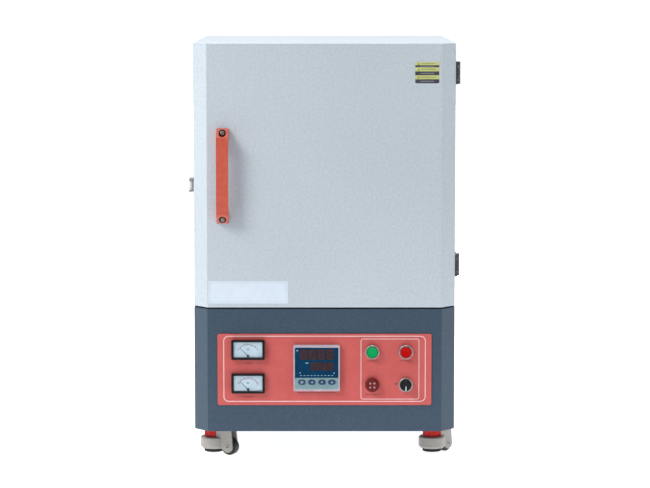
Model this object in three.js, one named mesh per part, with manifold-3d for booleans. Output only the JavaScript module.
// A floor-standing electric chamber kiln for pottery, in millimetres, +Z up and -Y to the front.
// The origin is on the floor under the middle of the kiln.
import * as THREE from "three";
import { mergeVertices } from "three/addons/utils/BufferGeometryUtils.js";
import Module from "manifold-3d";

const wasm = await Module();
wasm.setup();

// ---- Driving dimensions ----
const GAP = 0.3; // clearance between pieces that touch
const WIDTH = 541; // over the side walls
const FRONT = -315; // front face of the door and of the base
const REAR = 325; // back edge of both casings
const FLAT_HALF = 242; // half the flat part of the front, between the chamfers
const CHAMFER_DEPTH = 34;
const SHEET = 2; // wall of the casings
const BASE_BOTTOM = 59.5;
const BASE_TOP = 315.5;
const CABINET_BOTTOM = BASE_TOP + GAP;
const DOOR_BOTTOM = 318.6;
const TOP = 862;
const DOOR_BACK = -260;
const CABINET_FRONT = -257;
const CHAMBER_HALF = 130; // the chamber is square across
const CHAMBER_MID = 590; // height of its axis
const CHAMBER_BACK = 143;
const MUFFLE_WALL = 40;
const PLUG_REACH = 38; // how far the door's plug goes into the chamber
const PLUG_CLEAR = 7; // room round the plug for its swing

const PANEL_HALF = 221.3;
const PANEL_BOTTOM = 115;
const PANEL_TOP = 264;
const PANEL_FRONT = FRONT - GAP - 2;
const FACE = PANEL_FRONT - GAP; // where an instrument's rim rests on the panel
const METERS = { ammeter: 231.4, voltmeter: 161.3 }; // heights of the two meters
const METER_X = -158;
const METER_W = 69;
const METER_H = 41;
const NEEDLE_DROP = 12.5; // needle pivot below the middle of the meter
const CONTROLLER = { x: -16.3, z: 193.6, side: 96 };
const KEY_XS = [-46.8, -26.2, -5.2, 15.2];
const KEY_Z = 164.5;
const SWITCH_XS = [98.7, 168];
const SWITCH_ZS = [227, 158];
const SWITCH_RIM = 15;
const SWITCH_HOLE = 11.2;

const HANDLE_X = -209;
const HANDLE_W = 25;
const HANDLE_Z = [493, 689];
const HANDLE_OUT = 35; // how far the handle stands off the door
const SCREW_ZS = [502.5, 679.5];
const HINGE_X = 275.8;
const HINGE_Y = -258.5;
const HINGE_R = 5;
const HINGE_LONG = 46;
const HINGE_ZS = { lower: 402, upper: 800.5 };
const CATCH_Z = 567.5;

const CASTER_X = 231;
const CASTER_YS = { front: FRONT + 72, rear: REAR - 72 };
const TRAIL = 39; // axle behind the swivel axis
const WHEEL_R = 17.5;
const WHEEL_HALF = 9;
const CUP_R = 28;
const THUMB_R = 18.5;

// ---- Solids ----
// A closed three.js geometry as a solid, with its shared corners merged and its faces outwards.
function solid(geometry) {
  const bare = geometry.index ? geometry.toNonIndexed() : geometry;
  bare.deleteAttribute("normal");
  bare.deleteAttribute("uv");
  const merged = mergeVertices(bare, 1e-4);
  const corners = merged.getAttribute("position").array;
  const index = merged.getIndex().array;
  const triangles = [];
  let volume = 0;
  const point = (i) => new THREE.Vector3().fromArray(corners, 3 * i);
  for (let i = 0; i < index.length; i += 3) {
    const [a, b, c] = [index[i], index[i + 1], index[i + 2]];
    if (a === b || b === c || c === a) continue;
    triangles.push(a, b, c);
    volume += point(a).dot(point(b).cross(point(c)));
  }
  if (volume < 0) triangles.reverse();
  return new wasm.Manifold(
    new wasm.Mesh({
      numProp: 3,
      vertProperties: new Float32Array(corners),
      triVerts: new Uint32Array(triangles),
    }),
  );
}

const join = (...solids) => solids.reduce((whole, next) => whole.add(next));
const cut = (whole, ...tools) => tools.reduce((left, tool) => left.subtract(tool), whole);

function box(x0, x1, y0, y1, z0, z1) {
  const geometry = new THREE.BoxGeometry(x1 - x0, y1 - y0, z1 - z0);
  geometry.translate((x0 + x1) / 2, (y0 + y1) / 2, (z0 + z1) / 2);
  return solid(geometry);
}

// A plan outline raised from z0 to z1.
function raised(shape, z0, z1, segments = 6) {
  const geometry = new THREE.ExtrudeGeometry(shape, {
    depth: z1 - z0,
    bevelEnabled: false,
    curveSegments: segments,
  });
  geometry.translate(0, 0, z0);
  return solid(geometry);
}

// An outline drawn in X and Z, made solid from y0 back to y1.
function facing(shape, y0, y1, segments = 6) {
  const geometry = new THREE.ExtrudeGeometry(shape, {
    depth: y1 - y0,
    bevelEnabled: false,
    curveSegments: segments,
  });
  geometry.rotateX(Math.PI / 2);
  geometry.translate(0, y1, 0);
  return solid(geometry);
}

// An outline drawn in Y and Z, made solid from x0 to x1.
function sideways(shape, x0, x1, segments = 6) {
  const geometry = new THREE.ExtrudeGeometry(shape, {
    depth: x1 - x0,
    bevelEnabled: false,
    curveSegments: segments,
  });
  const turn = new THREE.Matrix4().makeBasis(
    new THREE.Vector3(0, 1, 0),
    new THREE.Vector3(0, 0, 1),
    new THREE.Vector3(1, 0, 0),
  );
  geometry.applyMatrix4(turn);
  geometry.translate(x0, 0, 0);
  return solid(geometry);
}

// A turned piece about +Z: the profile holds [radius, height] pairs, from the axis to the axis,
// or round a closed ring.
function turned(profile, segments = 18) {
  const points = profile.map(([r, h]) => new THREE.Vector2(r, h));
  const geometry = new THREE.LatheGeometry(points, segments);
  geometry.rotateX(Math.PI / 2);
  return solid(geometry);
}

const rod = (r, z0, z1, segments = 18) =>
  turned([[0, z0], [r, z0], [r, z1], [0, z1]], segments);
// Turns a piece made about +Z so that its foot faces the back and its top faces the front.
const toFront = (piece) => piece.rotate([90, 0, 0]);

function outline(points) {
  return new THREE.Shape(points.map(([a, b]) => new THREE.Vector2(a, b)));
}

function roundedBox(cx, cy, w, h, r) {
  const shape = new THREE.Shape();
  const [x0, x1, y0, y1] = [cx - w / 2, cx + w / 2, cy - h / 2, cy + h / 2];
  shape.moveTo(x0 + r, y0);
  shape.lineTo(x1 - r, y0);
  shape.absarc(x1 - r, y0 + r, r, -Math.PI / 2, 0);
  shape.lineTo(x1, y1 - r);
  shape.absarc(x1 - r, y1 - r, r, 0, Math.PI / 2);
  shape.lineTo(x0 + r, y1);
  shape.absarc(x0 + r, y1 - r, r, Math.PI / 2, Math.PI);
  shape.lineTo(x0, y0 + r);
  shape.absarc(x0 + r, y0 + r, r, Math.PI, 1.5 * Math.PI);
  return shape;
}

// The plan of the kiln: a rectangle whose two front corners are cut off, drawn inset by `inset`.
function plan(inset, back) {
  const chamferWidth = WIDTH / 2 - FLAT_HALF;
  const slant = Math.hypot(chamferWidth, CHAMFER_DEPTH);
  const half = WIDTH / 2 - inset;
  const flat = FLAT_HALF - (inset * (slant - chamferWidth)) / CHAMFER_DEPTH;
  const corner = FRONT + CHAMFER_DEPTH + (inset * (slant - CHAMFER_DEPTH)) / chamferWidth;
  return outline([
    [-flat, FRONT + inset],
    [flat, FRONT + inset],
    [half, corner],
    [half, back],
    [-half, back],
    [-half, corner],
  ]);
}

// ---- Finishes ----
const finish = (color, roughness, metalness = 0) => ({ color, roughness, metalness });
const FINISH = {
  cabinet: finish(0xc6cfd8, 0.55, 0.1),
  slate: finish(0x46535f, 0.5, 0.1),
  coral: finish(0xc95f5a, 0.45),
  handle: finish(0xcc5d4d, 0.4),
  fibre: finish(0xf2efe6, 0.95),
  brick: finish(0xd9cbb2, 0.9),
  element: finish(0x8c6a50, 0.6, 0.8),
  steel: finish(0xb5b8bb, 0.35, 0.9),
  core: finish(0x5d5a58, 0.6, 0.5),
  black: finish(0x1d1c20, 0.45),
  blue: finish(0x1f4c6e, 0.35),
  key: finish(0x22335a, 0.5),
  green: finish(0x00ae5c, 0.3),
  red: finish(0xbf0808, 0.3),
  maroon: finish(0x6e353f, 0.45),
  thumb: finish(0xa13d3b, 0.4),
  casting: finish(0xaea8a5, 0.4, 0.2),
  rubber: finish(0x2e2b26, 0.8),
  rope: finish(0xe6e2d6, 1.0),
};

const kiln = new THREE.Group();

function add(name, piece, look, parent = kiln) {
  const { vertProperties, triVerts } = piece.getMesh();
  const geometry = new THREE.BufferGeometry();
  geometry.setAttribute("position", new THREE.BufferAttribute(vertProperties.slice(), 3));
  geometry.setIndex(new THREE.BufferAttribute(triVerts.slice(), 1));
  const mesh = new THREE.Mesh(geometry, new THREE.MeshStandardMaterial(FINISH[look]));
  mesh.name = name;
  parent.add(mesh);
  return mesh;
}

// ---- Upper cabinet ----
const chamberFloor = CHAMBER_MID - CHAMBER_HALF;
const muffleHalf = CHAMBER_HALF + MUFFLE_WALL;
const muffleBack = CHAMBER_BACK + MUFFLE_WALL;
const blanketHalf = WIDTH / 2 - SHEET - 1;
const blanketBack = muffleBack + 60;
const LEAD_XS = 118; // the element leads' distance from the middle
const LEAD_ZS = [CHAMBER_MID - 90, CHAMBER_MID + 90];
const PROBE_Z = CHAMBER_MID + 60;

function squareAt(half, y0, y1, low = CHAMBER_MID - half, high = CHAMBER_MID + half) {
  return box(-half, half, y0, y1, low, high);
}

// The holes for the element leads and the probe, through whatever lies behind the chamber.
function rearHoles(r) {
  const holes = [-LEAD_XS, LEAD_XS].flatMap((x) => LEAD_ZS.map((z) => [x, z]));
  holes.push([0, PROBE_Z]);
  return holes.map(([x, z]) =>
    toFront(rod(r, -REAR, -CHAMBER_BACK + 5, 10)).translate([x, 0, z]),
  );
}

add(
  "upper_casing",
  cut(
    box(-WIDTH / 2, WIDTH / 2, CABINET_FRONT, REAR, CABINET_BOTTOM, TOP),
    box(
      -WIDTH / 2 + SHEET, WIDTH / 2 - SHEET, CABINET_FRONT - 1, REAR + 1,
      CABINET_BOTTOM + SHEET, TOP - SHEET,
    ),
  ),
  "cabinet",
);

const innerHalf = WIDTH / 2 - SHEET - GAP;
const innerLow = CABINET_BOTTOM + SHEET + GAP;
const innerHigh = TOP - SHEET - GAP;
const SLOT_HIGH = 8;
// A column of air slots through a rear wall, from the height `low` upwards.
function airSlots(count, x0, x1, low, pitch) {
  return Array.from({ length: count }, (_, i) =>
    box(x0, x1, REAR - 10, REAR + 10, low + pitch * i, low + pitch * i + SLOT_HIGH),
  );
}
add(
  "rear_panel",
  cut(
    box(-innerHalf, innerHalf, REAR - 3, REAR - 1, innerLow, innerHigh),
    ...airSlots(7, -90, 90, 420, 22),
  ),
  "cabinet",
);

const THROAT_THICK = 3;
add(
  "throat_frame",
  cut(
    box(-innerHalf, innerHalf, CABINET_FRONT, CABINET_FRONT + THROAT_THICK, innerLow, innerHigh),
    squareAt(muffleHalf + GAP, CABINET_FRONT - 1, CABINET_FRONT + THROAT_THICK + 1),
  ),
  "steel",
);

add(
  "muffle",
  cut(
    squareAt(muffleHalf, CABINET_FRONT, muffleBack),
    squareAt(CHAMBER_HALF, CABINET_FRONT - 1, CHAMBER_BACK),
    ...rearHoles(6),
  ),
  "fibre",
);
add(
  "insulation_blanket",
  cut(
    box(
      -blanketHalf, blanketHalf, CABINET_FRONT + THROAT_THICK + GAP, blanketBack,
      innerLow + GAP, innerHigh - GAP,
    ),
    squareAt(muffleHalf + GAP, CABINET_FRONT, muffleBack + GAP),
    ...rearHoles(6),
  ),
  "fibre",
);
add(
  "hearth_plate",
  box(
    -CHAMBER_HALF + 12, CHAMBER_HALF - 12, CABINET_FRONT + PLUG_REACH + 12, CHAMBER_BACK - 8,
    chamberFloor + GAP, chamberFloor + 10,
  ),
  "brick",
);

// A heating element: a thick rod laid in long hairpins along one side wall, with both ends
// led out through the back.
const ELEMENT_ROWS = 6;
const ELEMENT_R = 3.5;
const ELEMENT_SIDES = 6;
const elementFront = CABINET_FRONT + PLUG_REACH + 40;
const elementBack = CHAMBER_BACK - 40;
const elementPitch = (LEAD_ZS[1] - LEAD_ZS[0]) / (ELEMENT_ROWS - 1);
for (const [side, sign] of [["left", -1], ["right", 1]]) {
  const lengths = [];
  for (let row = 0; row < ELEMENT_ROWS; row += 1) {
    const z = LEAD_ZS[0] + row * elementPitch;
    const isLead = row === 0 || row === ELEMENT_ROWS - 1;
    const back = isLead ? blanketBack + 25 : elementBack;
    lengths.push(toFront(rod(ELEMENT_R, -back, -elementFront, ELEMENT_SIDES)).translate([0, 0, z]));
    if (row === ELEMENT_ROWS - 1) break;
    const y = row % 2 === 0 ? elementFront + ELEMENT_R : elementBack - ELEMENT_R;
    lengths.push(rod(ELEMENT_R * 0.98, z, z + elementPitch, ELEMENT_SIDES).translate([0, y, 0]));
  }
  add(`heating_element_${side}`, join(...lengths).translate([sign * LEAD_XS, 0, 0]), "element");
}

add(
  "thermocouple",
  toFront(
    join(
      rod(4, -blanketBack - 8, -CHAMBER_BACK + 55, 12),
      rod(19, -blanketBack - 34, -blanketBack - 8, 16),
    ),
  ).translate([0, 0, PROBE_Z]),
  "steel",
);

// ---- Base ----
const PANEL_LAP = 8; // how far the panel overlaps the edge of its opening
const panelHole = box(
  -PANEL_HALF + PANEL_LAP, PANEL_HALF - PANEL_LAP, FRONT - 1, FRONT + 5,
  PANEL_BOTTOM + PANEL_LAP, PANEL_TOP - PANEL_LAP,
);
const GLAND = { x: 170, z: 150, r: 11, nut: 15, bore: 6 };
add(
  "base_casing",
  cut(
    raised(plan(0, REAR), BASE_BOTTOM, BASE_TOP),
    raised(plan(SHEET, REAR - SHEET), BASE_BOTTOM - 1, BASE_TOP - SHEET),
    panelHole,
    toFront(rod(GLAND.r + GAP, -REAR - 5, -REAR + 5, 16)).translate([GLAND.x, 0, GLAND.z]),
    ...airSlots(5, -120, 40, 120, 20),
  ),
  "slate",
);
const FLOOR_TOP = BASE_BOTTOM + 3;
add("base_floor", raised(plan(SHEET + GAP, REAR - SHEET - GAP), BASE_BOTTOM, FLOOR_TOP), "slate");

// The transformer: a laminated core with its wound coil round the middle limb.
const deck = FLOOR_TOP + GAP;
const CORE = { x: -130, y: 50, half: 60, thick: 60, limb: 20, window: 25 };
const coreWindow = (side) => {
  const x = CORE.x + side * (CORE.limb / 2 + CORE.window / 2);
  return box(
    x - CORE.window / 2, x + CORE.window / 2, CORE.y - CORE.thick, CORE.y + CORE.thick,
    deck + CORE.window, deck + 2 * CORE.half - CORE.window - CORE.limb,
  );
};
const COIL = { half: 32, reach: 45, low: 28, high: 72 };
add(
  "transformer",
  join(
    cut(
      box(
        CORE.x - CORE.half, CORE.x + CORE.half, CORE.y - CORE.thick / 2, CORE.y + CORE.thick / 2,
        deck, deck + 2 * CORE.half - CORE.limb,
      ),
      coreWindow(-1), coreWindow(1),
    ),
    box(
      CORE.x - COIL.half, CORE.x + COIL.half, CORE.y - COIL.reach, CORE.y + COIL.reach,
      deck + COIL.low, deck + COIL.high,
    ),
  ),
  "core",
);

// The power regulator: a module on a finned heat sink.
const SINK = { x: 60, w: 104, depth: 110, fins: 7, pitch: 16, fin: 4, foot: 40, plate: 48 };
const fins = Array.from({ length: SINK.fins }, (_, i) => {
  const x = SINK.x + 2 + SINK.pitch * i;
  return box(x, x + SINK.fin, 0, SINK.depth, deck, deck + SINK.foot + 1);
});
const sinkPlate = box(
  SINK.x, SINK.x + SINK.w, 0, SINK.depth, deck + SINK.foot, deck + SINK.plate,
);
const switchModule = box(82, 142, 20, 92, deck + SINK.plate - 1, deck + SINK.plate + 30);
add("power_regulator", join(sinkPlate, switchModule, ...fins), "steel");

add(
  "cable_gland",
  toFront(
    cut(
      join(
        rod(GLAND.r, -REAR - 10, -REAR + 16, 16),
        rod(GLAND.nut + 1, -REAR - 8, -REAR - GAP, 6),
        rod(GLAND.nut, -REAR - 25, -REAR - 8, 16),
        rod(GLAND.nut, -REAR + SHEET + GAP, -REAR + 9, 6),
      ),
      rod(GLAND.bore, -REAR - 30, -REAR + 20, 16),
    ),
  ).translate([GLAND.x, 0, GLAND.z]),
  "black",
);

// ---- Control panel ----
const meterBody = { w: 56, h: 32 };
const controllerHalf = CONTROLLER.side / 2 - 2; // its hole; the body behind is 0.5 smaller
const meterHoles = Object.values(METERS).map((z) =>
  facing(roundedBox(METER_X, z, meterBody.w + 1, meterBody.h + 1, 2), PANEL_FRONT - 1, FRONT, 2),
);
const controllerHole = box(
  CONTROLLER.x - controllerHalf, CONTROLLER.x + controllerHalf, PANEL_FRONT - 1, FRONT,
  CONTROLLER.z - controllerHalf, CONTROLLER.z + controllerHalf,
);
const switchHoles = SWITCH_XS.flatMap((x) =>
  SWITCH_ZS.map((z) =>
    toFront(rod(SWITCH_HOLE, -FRONT - 1, -PANEL_FRONT + 1, 20)).translate([x, 0, z]),
  ),
);
add(
  "control_panel",
  cut(
    facing(
      roundedBox(0, (PANEL_BOTTOM + PANEL_TOP) / 2, 2 * PANEL_HALF, PANEL_TOP - PANEL_BOTTOM, 4),
      PANEL_FRONT, FRONT - GAP, 3,
    ),
    ...meterHoles, controllerHole, ...switchHoles,
  ),
  "coral",
);

// A panel meter: a rimmed case with a recessed dial, and a needle on its own pivot.
const METER_RIM = 9;
const DIAL_BACK = FACE - METER_RIM + 4;
for (const [name, z] of Object.entries(METERS)) {
  const dial = roundedBox(METER_X, z, 60, 32.5, 1.5);
  const pivot = [METER_X, 0, z - NEEDLE_DROP];
  add(
    name,
    join(
      cut(
        facing(roundedBox(METER_X, z, METER_W, METER_H, 2.5), FACE - METER_RIM, FACE, 2),
        facing(dial, FACE - METER_RIM - 1, DIAL_BACK, 2),
      ),
      facing(roundedBox(METER_X, z, meterBody.w, meterBody.h, 2), FACE - 2, FACE + 38, 2),
      toFront(rod(1.2, -DIAL_BACK - 0.5, -DIAL_BACK + 3, 10)).translate(pivot),
    ),
    "black",
  );
  const hub = turned([[1.5, 0.8], [3, 0.8], [3, 2.2], [1.5, 2.2], [1.5, 0.8]], 16);
  const blade = raised(outline([[-0.7, 2.2], [0.7, 2.2], [0.4, 23], [-0.4, 23]]), 1.1, 1.7);
  const needle = add(`${name}_needle`, toFront(join(hub, blade)), "black");
  needle.position.set(pivot[0], DIAL_BACK, pivot[2]);
  needle.rotation.y = -Math.PI / 4;
}

// The temperature controller and its four keys.
const KEY_TRAVEL_ROOM = 2;
const KEY_W = 15;
const KEY_H = 9.6;
const KEY_WELL = 5;
const CONTROLLER_PROUD = 9;
const CONTROLLER_DEPTH = 75;
const controllerFront = FACE - CONTROLLER_PROUD;
const controllerBody = controllerHalf - 0.5;
const keyShape = (x, clear) =>
  roundedBox(x, KEY_Z, KEY_W + clear, KEY_H + clear, (KEY_H + clear) / 2 - 0.01);
add(
  "controller",
  join(
    cut(
      facing(
        roundedBox(CONTROLLER.x, CONTROLLER.z, CONTROLLER.side, CONTROLLER.side, 3),
        controllerFront, FACE, 3,
      ),
      facing(
        roundedBox(CONTROLLER.x, CONTROLLER.z + 9.5, 90, 67, 2), controllerFront - 1,
        controllerFront + 1.5, 2,
      ),
      ...KEY_XS.map((x) =>
        facing(keyShape(x, 0.8), controllerFront - 1, controllerFront + KEY_WELL, 2),
      ),
    ),
    box(
      CONTROLLER.x - controllerBody, CONTROLLER.x + controllerBody, FACE - 2, FACE + CONTROLLER_DEPTH,
      CONTROLLER.z - controllerBody, CONTROLLER.z + controllerBody,
    ),
  ),
  "blue",
);
KEY_XS.forEach((x, i) => {
  add(
    `controller_key_${i + 1}`,
    facing(keyShape(x, 0), controllerFront - 1.2, controllerFront + KEY_WELL - KEY_TRAVEL_ROOM, 2),
    "key",
  );
});

// A round rim with a threaded barrel through the panel and a cup in front for what it holds.
const BARREL_R = SWITCH_HOLE - 0.4;
function rim(proud, bore, depth) {
  return turned(
    [
      [0, -44], [BARREL_R, -44], [BARREL_R, GAP], [SWITCH_RIM, GAP], [SWITCH_RIM, proud - 1],
      [SWITCH_RIM - 1, proud], [bore, proud], [bore, proud - depth], [0, proud - depth],
    ],
  );
}

const BUTTON_PROUD = 11;
const switches = [
  ["start", SWITCH_XS[0], SWITCH_ZS[0], "green"],
  ["stop", SWITCH_XS[1], SWITCH_ZS[0], "red"],
];
for (const [name, x, z, look] of switches) {
  const place = [x, PANEL_FRONT, z];
  add(`${name}_bezel`, toFront(rim(BUTTON_PROUD, 12.5, 9)).translate(place), "steel");
  add(
    `${name}_button`,
    toFront(turned([[0, 6], [12, 6], [12, 11.2], [11, 12.2], [0, 12.2]])).translate(place),
    look,
  );
}

const buzzerPlace = [SWITCH_XS[0], PANEL_FRONT, SWITCH_ZS[1]];
const soundHoles = [45, 135, 225, 315].map((deg) => {
  const a = THREE.MathUtils.degToRad(deg);
  return rod(2.4, 8, 20, 10).translate([6 * Math.cos(a), 6 * Math.sin(a), 0]);
});
add(
  "buzzer",
  toFront(
    cut(
      turned([
        [0, -40], [BARREL_R, -40], [BARREL_R, GAP], [14.5, GAP], [14.5, 10], [12, 13], [0, 13],
      ]),
      ...soundHoles,
    ),
  ).translate(buzzerPlace),
  "maroon",
);

const selectorPlace = [SWITCH_XS[1], PANEL_FRONT, SWITCH_ZS[1]];
add("selector_ring", toFront(rim(7, 12.5, 4)).translate(selectorPlace), "steel");
const grip = raised(roundedBox(0, 0, 8, 22.5, 3.5), 9, 21, 3);
add(
  "selector_knob",
  toFront(join(turned([[0, 3.4], [12, 3.4], [12, 9], [11, 10], [0, 10]]), grip)).translate(
    selectorPlace,
  ),
  "black",
);

// ---- Door ----
// The shell is a folded pan, open at the back, with a flange round its lining.
const DOOR_SHEET = 2;
const plugHalf = CHAMBER_HALF - PLUG_CLEAR;
const LINING_HALF = 190;
add(
  "door_shell",
  cut(
    raised(plan(0, DOOR_BACK), DOOR_BOTTOM, TOP),
    raised(plan(DOOR_SHEET, DOOR_BACK - DOOR_SHEET), DOOR_BOTTOM + DOOR_SHEET, TOP - DOOR_SHEET),
    squareAt(LINING_HALF, FRONT + DOOR_SHEET, DOOR_BACK + 1),
    toFront(rod(3.1, -FRONT - 6, -FRONT + 1, 12)).translate([HANDLE_X, 0, SCREW_ZS[0]]),
    toFront(rod(3.1, -FRONT - 6, -FRONT + 1, 12)).translate([HANDLE_X, 0, SCREW_ZS[1]]),
  ),
  "cabinet",
);
add(
  "door_plug",
  join(
    squareAt(LINING_HALF - GAP, FRONT + DOOR_SHEET + GAP, DOOR_BACK - GAP),
    squareAt(plugHalf, DOOR_BACK - 1, CABINET_FRONT + PLUG_REACH),
  ),
  "fibre",
);
const SEAL = { inner: muffleHalf + 4, outer: muffleHalf + 16 };
add(
  "door_seal",
  cut(
    squareAt(SEAL.outer, DOOR_BACK, CABINET_FRONT - GAP),
    squareAt(SEAL.inner, DOOR_BACK - 1, CABINET_FRONT + 1),
  ),
  "rope",
);

// The bow handle: two feet flat on the door, two sloped legs and a bar, with a counterbored
// hole through each leg.
const foot = FRONT - GAP;
const barFront = FRONT - HANDLE_OUT;
const LEG_RISE = 23;
const BAR_THICK = 11;
const [hz0, hz1] = HANDLE_Z;
const handleSide = outline([
  [foot, hz0],
  [barFront + 4, hz0 + LEG_RISE - 7],
  [barFront, hz0 + LEG_RISE],
  [barFront, hz1 - LEG_RISE],
  [barFront + 4, hz1 - LEG_RISE + 7],
  [foot, hz1],
  [foot, hz1 - LEG_RISE + 1],
  [barFront + BAR_THICK + 4, hz1 - LEG_RISE - 9],
  [barFront + BAR_THICK, hz1 - LEG_RISE - 14],
  [barFront + BAR_THICK, hz0 + LEG_RISE + 14],
  [barFront + BAR_THICK + 4, hz0 + LEG_RISE + 9],
  [foot, hz0 + LEG_RISE - 1],
]);
const SCREW_R = 2.8;
const HEAD_R = 4.5;
const HEAD_SEAT = 7; // where the counterbore ends, off the door
const counterbores = SCREW_ZS.flatMap((z) => [
  toFront(rod(SCREW_R + 0.6, -foot - 1, -foot + 40, 12)).translate([HANDLE_X, 0, z]),
  toFront(rod(HEAD_R + 3, -foot + HEAD_SEAT, -foot + 40, 16)).translate([HANDLE_X, 0, z]),
]);
add(
  "handle",
  cut(sideways(handleSide, HANDLE_X - HANDLE_W / 2, HANDLE_X + HANDLE_W / 2), ...counterbores),
  "handle",
);
const SCREW_NAMES = ["handle_screw_lower", "handle_screw_upper"];
SCREW_ZS.forEach((z, i) => {
  const seat = HEAD_SEAT + GAP;
  const screw = turned([
    [0, -4.5], [SCREW_R, -4.5], [SCREW_R, seat], [HEAD_R, seat], [HEAD_R, seat + 5.5],
    [2.4, seat + 6], [2.1, seat + 3.7], [0, seat + 3.7],
  ], 12);
  add(SCREW_NAMES[i], toFront(screw).translate([HANDLE_X, foot, z]), "steel");
});

// A hinge: the cabinet's leaf has two knuckles and the pin, the door's has one between them.
const hingeRod = (r, z0, z1) => rod(r, z0, z1, 14).translate([HINGE_X, HINGE_Y, 0]);

const PIN_R = 2.3;
const LEAF_THICK = 4.2;
const LEAF_REACH = 38;
for (const [name, mid] of Object.entries(HINGE_ZS)) {
  const z0 = mid - HINGE_LONG / 2;
  const z1 = mid + HINGE_LONG / 2;
  const third = HINGE_LONG / 3;
  const side = WIDTH / 2 + GAP;
  const leaf = (y0, y1, low, high) => box(side, side + LEAF_THICK, y0, y1, low, high);
  add(
    `hinge_${name}_leaf`,
    join(
      leaf(HINGE_Y, HINGE_Y + LEAF_REACH, z0, z0 + third),
      leaf(HINGE_Y, HINGE_Y + LEAF_REACH, z1 - third, z1),
      leaf(HINGE_Y + 7, HINGE_Y + LEAF_REACH, z0, z1),
      hingeRod(HINGE_R, z0, z0 + third),
      hingeRod(HINGE_R, z1 - third, z1),
      hingeRod(PIN_R, z0 + 1, z1 - 1),
    ),
    "black",
  );
  add(
    `hinge_${name}_door_leaf`,
    cut(
      join(
        leaf(FRONT + CHAMFER_DEPTH + 1, HINGE_Y, z0 + third + 0.5, z1 - third - 0.5),
        leaf(FRONT + CHAMFER_DEPTH + 1, HINGE_Y - 7, z0, z1),
        hingeRod(HINGE_R, z0 + third + 0.5, z1 - third - 0.5),
      ),
      hingeRod(PIN_R + GAP, z0, z1),
    ),
    "black",
  );
}

// The catch: a roller in a bracket on the cabinet, pressing on a striker on the door's edge.
const catchSide = -WIDTH / 2 - GAP;
const STRIKER_THICK = 2;
const ROLLER_R = 3.2;
const ROLLER_PIN = 1.3;
const CATCH_OUT = -HINGE_X - HINGE_R;
const CATCH_HALF = 14;
const ROLLER = { x: catchSide - STRIKER_THICK - GAP - ROLLER_R, y: -266 };
add(
  "catch_striker",
  box(
    catchSide - STRIKER_THICK, catchSide, FRONT + CHAMFER_DEPTH + 1, DOOR_BACK,
    CATCH_Z - CATCH_HALF + 5, CATCH_Z + CATCH_HALF - 5,
  ),
  "steel",
);
const rollerAt = [ROLLER.x, ROLLER.y, 0];
const catchEar = (z) =>
  box(CATCH_OUT, ROLLER.x + 3, ROLLER.y - 6, CABINET_FRONT + 5, z, z + 3);
add(
  "catch_body",
  join(
    box(CATCH_OUT, catchSide, CABINET_FRONT + 1, CABINET_FRONT + 33, CATCH_Z - CATCH_HALF, CATCH_Z + CATCH_HALF),
    catchEar(CATCH_Z + CATCH_HALF - 4),
    catchEar(CATCH_Z - CATCH_HALF + 1),
    rod(ROLLER_PIN, CATCH_Z - CATCH_HALF + 2, CATCH_Z + CATCH_HALF - 2, 12).translate(rollerAt),
  ),
  "steel",
);
add(
  "catch_roller",
  cut(
    rod(ROLLER_R, CATCH_Z - CATCH_HALF + 4.5, CATCH_Z + CATCH_HALF - 4.5, 16),
    rod(ROLLER_PIN + GAP, CATCH_Z - CATCH_HALF, CATCH_Z + CATCH_HALF, 12),
  ).translate(rollerAt),
  "casting",
);

// ---- Casters ----
// One levelling caster about its swivel axis, trailing towards +X, standing on the floor.
const CUP = { low: 13, high: 37 };
const PAD_R = 20;
const PAD_LOW = 5.5;
const STEM_R = 4.5;
const THUMB = { low: 39.5, high: 54 };
const CAP_LOW = 55.5;
const CHEEK_IN = WHEEL_HALF + 1.2;
const CHEEK_OUT = 14;
const AXLE_R = 3.5;

function casterHousing() {
  const cheeks = new THREE.Shape();
  const boss = 11.5;
  cheeks.moveTo(-8, CUP.high - 8);
  cheeks.lineTo(10, CUP.low);
  cheeks.lineTo(TRAIL - 13, CUP.low);
  cheeks.absarc(TRAIL, WHEEL_R, boss, 1.25 * Math.PI, 2.05 * Math.PI);
  cheeks.lineTo(TRAIL + 7, BASE_BOTTOM - GAP - 3);
  cheeks.lineTo(TRAIL + 3, BASE_BOTTOM - GAP);
  cheeks.lineTo(-8, BASE_BOTTOM - GAP);
  const plate = (y0, y1) => facing(cheeks, y0, y1, 5);
  const body = join(
    turned([[0, CUP.low], [CUP_R - 3, CUP.low], [CUP_R, CUP.low + 4], [CUP_R, CUP.high - 2],
      [CUP_R - 2, CUP.high], [0, CUP.high]], 20),
    rod(CUP_R - 4, CAP_LOW, BASE_BOTTOM - GAP, 20),
    plate(-CHEEK_OUT, -CHEEK_IN),
    plate(CHEEK_IN, CHEEK_OUT),
    box(8, TRAIL - 16, -CHEEK_IN - 1, CHEEK_IN + 1, CAP_LOW, BASE_BOTTOM - GAP),
  );
  const axle = facing(circle(TRAIL, WHEEL_R, AXLE_R), -CHEEK_IN - 1, CHEEK_IN + 1, 5);
  return join(
    cut(
      body,
      rod(PAD_R + 2.5, CUP.low - 5, CUP.low + 12, 20),
      rod(STEM_R + GAP, 0, CAP_LOW + 4, 10),
      rod(THUMB_R + 0.8, CUP.high, THUMB.high + 1, 20),
      facing(circle(TRAIL, WHEEL_R, WHEEL_R + 1.5), -CHEEK_IN, CHEEK_IN, 9),
    ),
    axle,
  );
}

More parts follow.
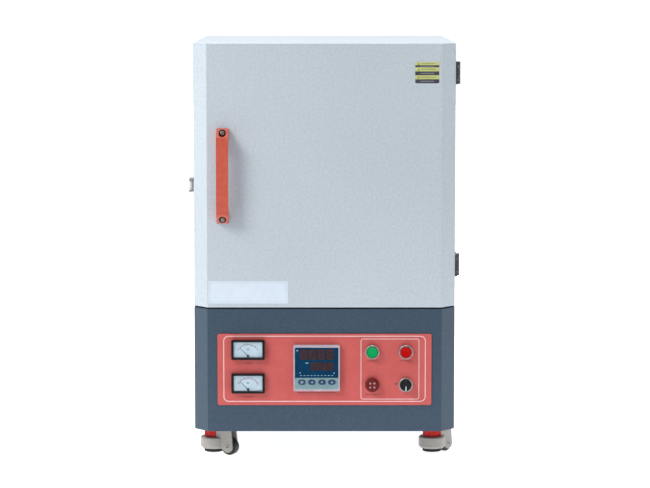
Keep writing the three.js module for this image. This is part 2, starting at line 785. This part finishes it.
function circle(x, z, r) {
  const shape = new THREE.Shape();
  shape.absarc(x, z, r, 0, 2 * Math.PI);
  return shape;
}

function casterWheel() {
  const tyre = turned([
    [AXLE_R + GAP, -WHEEL_HALF], [WHEEL_R - 2, -WHEEL_HALF], [WHEEL_R, -WHEEL_HALF + 2],
    [WHEEL_R, WHEEL_HALF - 2], [WHEEL_R - 2, WHEEL_HALF], [AXLE_R + GAP, WHEEL_HALF],
    [AXLE_R + GAP, -WHEEL_HALF],
  ], 24);
  return toFront(tyre).translate([TRAIL, 0, WHEEL_R]);
}

function casterThumbwheel() {
  const notch = (a) =>
    rod(1.6, THUMB.low - 3, THUMB.high + 1, 4).translate([
      THUMB_R * Math.cos(a), THUMB_R * Math.sin(a), 0,
    ]);
  const notches = Array.from({ length: 9 }, (_, i) => notch((i * Math.PI) / 4.5));
  return cut(
    rod(THUMB_R, THUMB.low - 2, THUMB.high, 18),
    rod(STEM_R + GAP, 0, 80, 10),
    ...notches,
  );
}

function casterFoot() {
  return turned([
    [0, PAD_LOW], [PAD_R - 1, PAD_LOW], [PAD_R, PAD_LOW + 1], [PAD_R, PAD_LOW + 7],
    [PAD_R - 2, PAD_LOW + 9], [STEM_R, PAD_LOW + 9], [STEM_R, CAP_LOW - 1], [0, CAP_LOW - 1],
  ], 16);
}

// Which way each caster trails, in degrees from +X.
const CASTERS = {
  front_left: [-CASTER_X - 2, CASTER_YS.front, -25],
  front_right: [CASTER_X - 5, CASTER_YS.front, 48],
  rear_left: [-CASTER_X, CASTER_YS.rear, 20],
  rear_right: [CASTER_X, CASTER_YS.rear, 150],
};
for (const [place, [x, y, turn]] of Object.entries(CASTERS)) {
  const caster = new THREE.Group();
  add(`caster_${place}_housing`, casterHousing(), "casting", caster);
  add(`caster_${place}_wheel`, casterWheel(), "rubber", caster);
  add(`caster_${place}_thumbwheel`, casterThumbwheel(), "thumb", caster);
  add(`caster_${place}_foot`, casterFoot(), "rubber", caster);
  caster.position.set(x, y, 0);
  caster.rotation.z = THREE.MathUtils.degToRad(turn);
  kiln.add(caster);
}

export default kiln;
